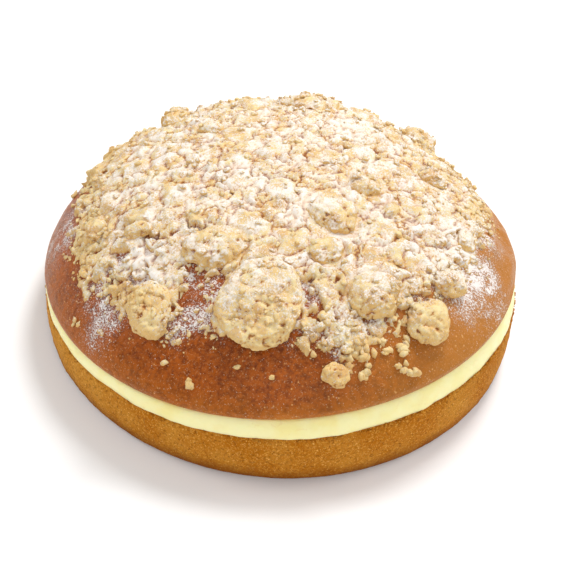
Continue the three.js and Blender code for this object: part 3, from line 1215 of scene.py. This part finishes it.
    def _solid_heights(self, x: Array, y: Array, outside: Array) -> Array:
        """The height of the solid cover over the crust, with its holes under the lumps filled in.

        Args:
            x: The grid's X.
            y: The grid's Y.
            outside: How far each point lies outside the streusel's edge, below 0 within it.

        Returns:
            The height in millimetres along the crust's normal.
        """
        tree = solid_tree("streusel_cover")
        crust = self.shape.dome(x, y)
        facing = self.shape.normal(x, y)[..., 2]
        height = np.where(outside < 0, 2.0, 0.0)
        for index in np.ndindex(x.shape):
            if outside[index] < 4:
                hit = tree.ray_cast(Vector((x[index], y[index], ABOVE_ALL)) * MM, DOWN)[0]
                if hit is not None:
                    height[index] = (hit.z / MM - crust[index]) * facing[index]
        return height

    def _close_below(self, bm: bmesh.types.BMesh) -> None:
        """Extrudes the open edge into the bread and fills it there, so that the mesh is closed.

        Args:
            bm: The relief, in metres.
        """
        rim = [edge for edge in bm.edges if edge.is_boundary]
        skirt = bmesh.ops.extrude_edge_only(bm, edges=rim)["geom"]
        lowered = [item for item in skirt if isinstance(item, bmesh.types.BMVert)]
        for corner in lowered:
            corner.co += Vector((-0.02 * corner.co.x, -0.02 * corner.co.y, -self.skirt * MM))
        bmesh.ops.holes_fill(bm, edges=[edge for edge in bm.edges if edge.is_boundary], sides=0)
        bmesh.ops.triangulate(bm, faces=[face for face in bm.faces if len(face.verts) > 4])
        bmesh.ops.recalc_face_normals(bm, faces=bm.faces)


def blurred(grid: Array, times: int) -> Array:
    """Averages each number of a grid with its neighbours.

    Args:
        grid: The numbers.
        times: How often it is done.

    Returns:
        The smoother grid.
    """
    for _ in range(times):
        padded = np.pad(grid, 1, mode="edge")
        sides = padded[:-2, 1:-1] + padded[2:, 1:-1] + padded[1:-1, :-2] + padded[1:-1, 2:]
        grid = 0.5 * grid + 0.125 * sides
    return grid


def lump_nodes() -> list[str]:
    """The names of the solids that are large lumps."""
    return sorted(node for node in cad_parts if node.startswith("lump_"))


def solid_tree(node: str) -> BVHTree:
    """A solid's faces, for finding where a line meets them."""
    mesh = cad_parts[node].data
    return BVHTree.FromPolygons([v.co for v in mesh.vertices], [list(p.vertices) for p in mesh.polygons])


@dataclass
class Lump:
    """One large lump of streusel, made from its solid: rounded, broken into crumbs and pitted."""

    node: str
    order: int
    voxel: float = 0.7
    roundings: int = 6
    chunk_sizes: tuple[float, float, float] = (11.0, 5.0, 2.4)
    pit_size: float = 1.9
    pit_share: float = 0.07
    pit_depth: float = 0.9

    def build(self, finish: bpy.types.Material) -> bpy.types.Object:
        """Rounds and roughens a copy of the solid and shows it in the solid's place.

        Args:
            finish: The piece's material.

        Returns:
            The piece.
        """
        mesh = self._rounded()
        points, facing = coordinates(mesh), normals(mesh)
        seed = 3.1 * self.order
        large, large_luck = chunks(points, self.chunk_sizes[0], seed)
        middle, middle_luck = chunks(points, self.chunk_sizes[1], seed + 4)
        small, small_luck = chunks(points, self.chunk_sizes[2], seed + 9)
        relief = 1.2 * (0.4 + 0.6 * large_luck) * large + 0.9 * (0.3 + 0.7 * middle_luck) * middle
        relief += 0.5 * (0.3 + 0.7 * small_luck) * small + 0.45 * fractal(points, 2.6, 4, seed) - 1.5
        relief += 1.3 * fractal(points, 12.0, 2, seed + 2)
        pit, pit_luck = chunks(points, self.pit_size, seed + 12)
        pits = np.where(pit_luck < self.pit_share, pit, 0)
        set_coordinates(mesh, points + facing * (relief - self.pit_depth * pits)[:, None])
        # How deep each point lies in a crevice or pit, which the streusel material darkens as painted shade.
        hollow = 0.6 * (1 - large) ** 3 + 0.6 * (1 - middle) ** 3 + 0.35 * (1 - small) ** 3 + 0.7 * pits
        store(mesh, "hollow", np.clip(hollow, 0, 1))
        return shown(mesh, finish, "streusel", self.node)

    def _rounded(self) -> bpy.types.Mesh:
        """A finely and evenly faced copy of the solid with its edges rounded off.

        Returns:
            The copy, in metres.
        """
        bm = bmesh.new()
        bm.from_mesh(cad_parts[self.node].data)
        bmesh.ops.remove_doubles(bm, verts=bm.verts, dist=WELD)
        source = written(bm, self.node + "_rough")
        holder = bpy.data.objects.new(source.name, source)
        bpy.context.scene.collection.objects.link(holder)
        even = holder.modifiers.new("even", "REMESH")
        even.mode = "VOXEL"
        even.voxel_size = self.voxel * MM
        bpy.context.view_layer.update()
        evaluated = holder.evaluated_get(bpy.context.evaluated_depsgraph_get())
        bm = bmesh.new()
        bm.from_mesh(bpy.data.meshes.new_from_object(evaluated))
        bpy.data.objects.remove(holder)
        every_way = {"use_axis_x": True, "use_axis_y": True, "use_axis_z": True}
        for _ in range(self.roundings):
            bmesh.ops.smooth_vert(bm, verts=bm.verts, factor=0.5, **every_way)
        return written(bm, self.node + "_crumb")


@dataclass
class Crumbs:
    """Small crumbs that lie on whatever is under them, joined as one piece."""

    name: str
    shape: LoafShape
    surface: BVHTree | None
    seed: int
    variants: int = 9
    clustered: float = 1.9
    cluster: int = 4
    crust_end: float = 0.95
    laid: list[Array] = field(default_factory=list)
    sides: list[Array] = field(default_factory=list)

    def __post_init__(self) -> None:
        """Makes the few forms that the crumbs share."""
        self.rng = np.random.default_rng(self.seed)
        self.forms = [self._form() for _ in range(self.variants)]

    def strew(self, count: int, size: tuple[float, float], belt: tuple[float, float]) -> None:
        """Strews crumbs in a belt round the edge of the streusel.

        Args:
            count: How many are tried.
            size: Their smallest and largest radius.
            belt: How far the belt reaches inwards, below 0, and outwards.
        """
        for _ in range(count):
            angle = FULL_TURN * self.rng.random()
            reach = float(self.shape.cover_outline(np.array(angle)))
            start = max(reach + belt[0], 0) ** 2
            out = math.sqrt(start + ((reach + belt[1]) ** 2 - start) * self.rng.random())
            if out < self.crust_end * float(self.shape.outline(np.array(angle))):
                radius = size[0] + (size[1] - size[0]) * self.rng.random() ** 2
                self.drop(out * math.cos(angle), out * math.sin(angle), radius)

    def drop(self, x: float, y: float, radius: float) -> None:
        """Lays one crumb, or a cluster of them where it is large, on the surface under a point.

        Args:
            x: The point's X.
            y: The point's Y.
            radius: The crumb's radius.
        """
        hit = self.surface.ray_cast(Vector((x, y, ABOVE_ALL)) * MM, DOWN)[0]
        if hit is None:
            return
        crust = Vector(self.shape.normal(np.array(x), np.array(y)))
        seat = Vector(hit) / MM + crust * radius * self.rng.uniform(0.1, 0.4)
        if radius < self.clustered:
            self.put(seat, crust, radius)
            return
        for _ in range(self.cluster):
            away = Vector(self.rng.normal(0, 0.42 * radius, 3))
            beside = seat + away - crust * max(0.0, away.dot(crust))
            self.put(beside, crust, radius * self.rng.uniform(0.5, 0.75))

    def put(self, seat: Vector, facing: Vector, radius: float) -> None:
        """Puts one crumb at a place, turned at random about the way it faces.

        Args:
            seat: Its middle in millimetres.
            facing: The way out of the surface that it lies on.
            radius: Its radius.
        """
        spin = Matrix.Rotation(FULL_TURN * self.rng.random(), 3, "Z")
        spin = spin @ Matrix.Rotation(0.7 * self.rng.random(), 3, "X")
        lean = UP.rotation_difference(facing).to_matrix()
        corners, sides = self.forms[int(self.rng.integers(self.variants))]
        self.sides.append(sides + sum(len(rows) for rows in self.laid))
        self.laid.append(corners @ np.array(lean @ spin).T * radius + np.array(seat))

    def build(self, finish: bpy.types.Material, slot: str) -> bpy.types.Object:
        """Joins the crumbs and shows them.

        Args:
            finish: Their material.
            slot: The material slot that the finish belongs to.

        Returns:
            The piece.
        """
        mesh = bpy.data.meshes.new(self.name)
        mesh.from_pydata((np.concatenate(self.laid) * MM).tolist(), [], np.concatenate(self.sides).tolist())
        mesh.polygons.foreach_set("use_smooth", [True] * len(mesh.polygons))
        mesh.update()
        # The loose crumbs get no painted shade.
        store(mesh, "hollow", np.zeros(len(mesh.vertices)))
        return shown(mesh, finish, slot)

    def _form(self) -> tuple[Array, Array]:
        """Makes one knobbly crumb of about unit radius.

        Returns:
            Its corners and its faces.
        """
        bm = bmesh.new()
        bmesh.ops.create_icosphere(bm, subdivisions=2, radius=1)
        corners = np.array([corner.co for corner in bm.verts])
        faces = np.array([[corner.index for corner in face.verts] for face in bm.faces])
        bm.free()
        seed = 20 * self.rng.random()
        dome, luck = chunks(corners, 0.95, seed)
        corners = corners * (0.72 + 0.4 * luck * dome + 0.45 * fractal(corners, 0.7, 3, seed))[:, None]
        return corners * self.rng.uniform((1.0, 0.75, 0.6), (1.35, 1.0, 0.85)), faces


def stray_places(shape: LoafShape, spread: float = 5.0) -> list[tuple[float, float, float]]:
    """Where the solid upper half has crumbs on its crust: x, y and radius of each.

    Args:
        shape: The loaf, whose dome the crumbs stand off.
        spread: Corners nearer to each other than this belong to one crumb.

    Returns:
        The crumbs, from the first found to the last.
    """
    points = coordinates(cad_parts["upper_half"].data)
    proud = points[:, 2] - shape.dome(points[:, 0], points[:, 1]) > 0.8
    edge = shape.outline(np.arctan2(points[:, 1], points[:, 0]))
    left = points[proud & (np.hypot(points[:, 0], points[:, 1]) < 0.98 * edge)]
    places = []
    while len(left):
        near = np.linalg.norm(left - left[0], axis=1) < spread
        middle = left[near].mean(axis=0)
        wide = np.linalg.norm(left[near] - middle, axis=1).max()
        places.append((float(middle[0]), float(middle[1]), float(max(wide, 1.2))))
        left = left[~near]
    return places


# ---- The studio --------------------------------------------------------------------------------


@dataclass(frozen=True)
class PhotoCamera:
    """The camera that the loaf is seen through: where it looks, from how far, how high and how level."""

    aim: tuple[float, float, float] = (2.86, -19.46, 30.0)
    distance: float = 583.0
    elevation: float = 41.19
    roll: float = 3.55
    focal_pixels: float = 1200.0
    frame_pixels: float = 570.0
    sensor: float = 36.0

    def build(self) -> None:
        """Makes the camera and gives it to the scene."""
        data = bpy.data.cameras.new("camera")
        data.sensor_width = self.sensor
        data.lens = self.focal_pixels / self.frame_pixels * self.sensor
        data.clip_start, data.clip_end = 0.01, 20
        camera = bpy.data.objects.new("camera", data)
        bpy.context.scene.collection.objects.link(camera)
        high, tip = math.radians(self.elevation), math.radians(self.roll)
        back = Vector((0, -math.cos(high), math.sin(high)))
        level_up = Vector((0, math.sin(high), math.cos(high)))
        right = math.cos(tip) * Vector((1, 0, 0)) + math.sin(tip) * level_up
        up = math.cos(tip) * level_up - math.sin(tip) * Vector((1, 0, 0))
        turned = Matrix((right, up, back)).transposed().to_4x4()
        place = (Vector(self.aim) + back * self.distance) * MM
        camera.matrix_world = Matrix.Translation(place) @ turned
        bpy.context.scene.camera = camera


@dataclass(frozen=True)
class Softbox:
    """One soft light: where it stands, how wide it is, its power and its colour. It faces the loaf."""

    name: str
    place: tuple[float, float, float]
    width: float
    power: float
    colour: Colour = (1.0, 1.0, 1.0)

    def build(self) -> None:
        """Makes the light."""
        data = bpy.data.lights.new(self.name, "AREA")
        data.shape = "DISK"
        data.size = self.width
        data.energy = self.power
        data.color = self.colour
        light = bpy.data.objects.new(self.name, data)
        bpy.context.scene.collection.objects.link(light)
        light.location = self.place
        towards = Vector((0, 0, LOAF_MIDDLE * MM)) - Vector(self.place)
        light.rotation_euler = towards.to_track_quat("-Z", "Y").to_euler()


@dataclass(frozen=True)
class Studio:
    """A pale floor, a white room and three soft lights."""

    lights: tuple[Softbox, ...] = (
        Softbox("key", (0.3, 0.5, 1.2), 0.45, 11.3, (1.0, 0.99, 0.98)),
        Softbox("left", (-1.15, 0.2, 0.8), 0.7, 4.8),
        Softbox("right", (1.15, 0.35, 0.85), 0.7, 5.5),
        Softbox("front", (0.1, -1.2, 0.9), 0.9, 6.7),
    )
    room: float = 0.4
    floor_reach: float = 6.0
    floor_colour: Colour = (0.93, 0.93, 0.93)
    floor_roughness: float = 0.7

    def build(self) -> None:
        """Lays the floor, lights the room and sets the lights."""
        bm = bmesh.new()
        bmesh.ops.create_grid(bm, x_segments=1, y_segments=1, size=self.floor_reach)
        floor = bpy.data.objects.new("floor", written(bm, "floor"))
        bpy.context.scene.collection.objects.link(floor)
        finish = Finish("floor")
        finish.feed(finish.shader.inputs["Base Color"], self.floor_colour)
        finish.feed(finish.shader.inputs["Roughness"], self.floor_roughness)
        floor.data.materials.append(finish.material)
        world = bpy.data.worlds.new("room")
        world.use_nodes = True
        world.node_tree.nodes["Background"].inputs[0].default_value = (1, 1, 1, 1)
        world.node_tree.nodes["Background"].inputs[1].default_value = self.room
        bpy.context.scene.world = world
        bpy.context.scene.view_settings.view_transform = "Standard"
        for light in self.lights:
            light.build()


# ---- The whole brioche -------------------------------------------------------------------------


@dataclass
class Brioche:
    """The brioche: the bread, its cream, its streusel and the sugar on them.

    The fallen crumbs are those that lie alone at the front and left: x, y and radius of each.
    """

    shape: LoafShape = field(default_factory=LoafShape)
    sugar: Sugar = field(default_factory=Sugar)
    bed_sugar: tuple[float, float] = (0.36, 0.13)
    lump_sugar: tuple[float, float] = (0.36, 0.12)
    loose_sugar: tuple[float, float] = (0.3, 0.12)
    torn_bits: int = 260
    torn_size: tuple[float, float] = (0.35, 0.95)
    torn_depth: tuple[float, float] = (0.2, 1.4)
    torn_most: tuple[float, float] = (-0.75, 0.5)
    torn_reach: float = 1.004
    fallen: tuple[tuple[float, float, float], ...] = (
        (38.6, -100.5, 3.4), (39.5, -96.5, 3.3), (36.5, -93.5, 2.8), (42.0, -93.5, 1.8),
        (57.8, -95.6, 3.2), (54.6, -96.0, 1.5), (52.5, -89.8, 3.3), (48.6, -91.0, 2.7),
        (45.6, -89.0, 2.0), (56.0, -87.6, 2.5), (25.3, -93.5, 3.3), (20.4, -94.5, 2.4),
        (30.0, -95.0, 2.7), (31.6, -99.6, 3.0), (20.6, -84.5, 3.2), (26.0, -86.0, 2.2),
        (15.0, -92.0, 1.9), (-87.6, -48.6, 3.8), (-91.0, -37.0, 2.8), (-0.2, -106.6, 1.5),
        (-15.0, -103.0, 1.4), (16.6, -98.0, 1.7), (34.0, -88.0, 2.2), (11.5, -89.0, 1.6),
    )

    def build(self) -> None:
        """Builds the bread and then what lies on it."""
        wall = BakedWall().make()
        LowerHalf(self.shape).build(wall)
        CreamLayer(self.shape).build(PastryCream().make())
        crust = UpperHalf(self.shape).build(GlazedCrust().make(self.sugar))
        crumb = Streusel()
        bed = StreuselBed(self.shape).build(crumb.make("streusel_bed", self.sugar, *self.bed_sugar))
        lump_finish = crumb.make("streusel_lump", self.sugar, *self.lump_sugar)
        lumps = [Lump(node, order).build(lump_finish) for order, node in enumerate(lump_nodes())]
        loose_finish = crumb.make("streusel_loose", self.sugar, *self.loose_sugar)
        self._scatter(merged_tree([crust, bed, *lumps]), loose_finish)
        self._crumble(wall)

    def _scatter(self, surface: BVHTree, finish: bpy.types.Material) -> None:
        """Strews loose crumbs over the streusel and over the crust round it.

        Args:
            surface: What they fall on.
            finish: Their material.
        """
        inner = Crumbs("crumbs_on_streusel", self.shape, surface, 3)
        inner.strew(count=420, size=(0.8, 2.4), belt=(-93.0, 3.0))
        inner.build(finish, "streusel")
        outer = Crumbs("crumbs_on_crust", self.shape, surface, 4)
        outer.strew(count=650, size=(0.5, 1.9), belt=(-7.0, 5.0))
        outer.strew(count=200, size=(0.35, 0.9), belt=(0.0, 10.0))
        for x, y, radius in (*self.fallen, *stray_places(self.shape)):
            outer.drop(x, y, radius)
        outer.build(finish, "streusel")

    def _crumble(self, finish: bpy.types.Material) -> None:
        """Sets torn bits of crumb along the upper edge of the lower half, most of them on the right.

        Args:
            finish: The lower half's material.
        """
        bits = Crumbs("torn_edge", self.shape, None, 6)
        for _ in range(self.torn_bits):
            if bits.rng.random() < 0.5:
                angle = bits.rng.normal(*self.torn_most)
            else:
                angle = FULL_TURN * bits.rng.random()
            reach = float(self.shape.lower_outline(np.array(angle))) * self.torn_reach
            x, y = reach * math.cos(angle), reach * math.sin(angle)
            z = float(self.shape.lower_cut.at(x, y)) - bits.rng.uniform(*self.torn_depth)
            bits.put(Vector((x, y, z)), Vector((x, y, 0)).normalized(), bits.rng.uniform(*self.torn_size))
        bits.build(finish, "lower_crust")


def merged_tree(pieces: list[bpy.types.Object]) -> BVHTree:
    """Joins the faces of several pieces, for finding what lies under a point.

    Args:
        pieces: The pieces, with their places in their meshes.

    Returns:
        One tree of all their faces.
    """
    points, faces, base = [], [], 0
    for piece in pieces:
        mesh = piece.data
        points += [corner.co for corner in mesh.vertices]
        faces += [[base + index for index in face.vertices] for face in mesh.polygons]
        base += len(mesh.vertices)
    return BVHTree.FromPolygons(points, faces)


def main() -> None:
    """Builds the studio, the camera and the brioche."""
    logging.basicConfig(level=logging.INFO, format="%(message)s")
    noise.seed_set(CELL_SEED)
    Studio().build()
    PhotoCamera().build()
    Brioche().build()


if __name__ == "__main__":
    main()
